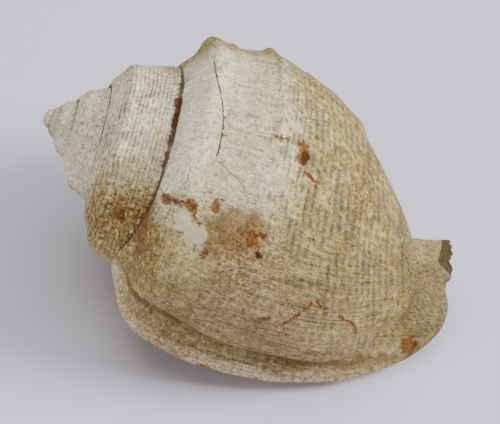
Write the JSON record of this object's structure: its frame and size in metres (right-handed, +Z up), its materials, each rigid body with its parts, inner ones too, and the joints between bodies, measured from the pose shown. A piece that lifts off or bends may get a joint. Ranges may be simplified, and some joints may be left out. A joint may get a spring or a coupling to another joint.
{
  "type": "bonnet shell",
  "caption": "Weathered bonnet sea-snail shell with a knobbed, corded spire, thick rolled outer lip and short canal, lying on its aperture.",
  "frame": {"origin": "centre of the bounding box, on the ground that the shell lies on", "axes": "+X from the tip of the spire to the canal, +Z up, and the outer lip towards -Y"},
  "size_m": [0.087, 0.0642, 0.0564],
  "materials": {
    "shell": "chalky, weathered shell with cream, grey and rust-brown stains"
  },
  "bodies": {
    "root": {"shell": "shell"}
  },
  "joints": []
}
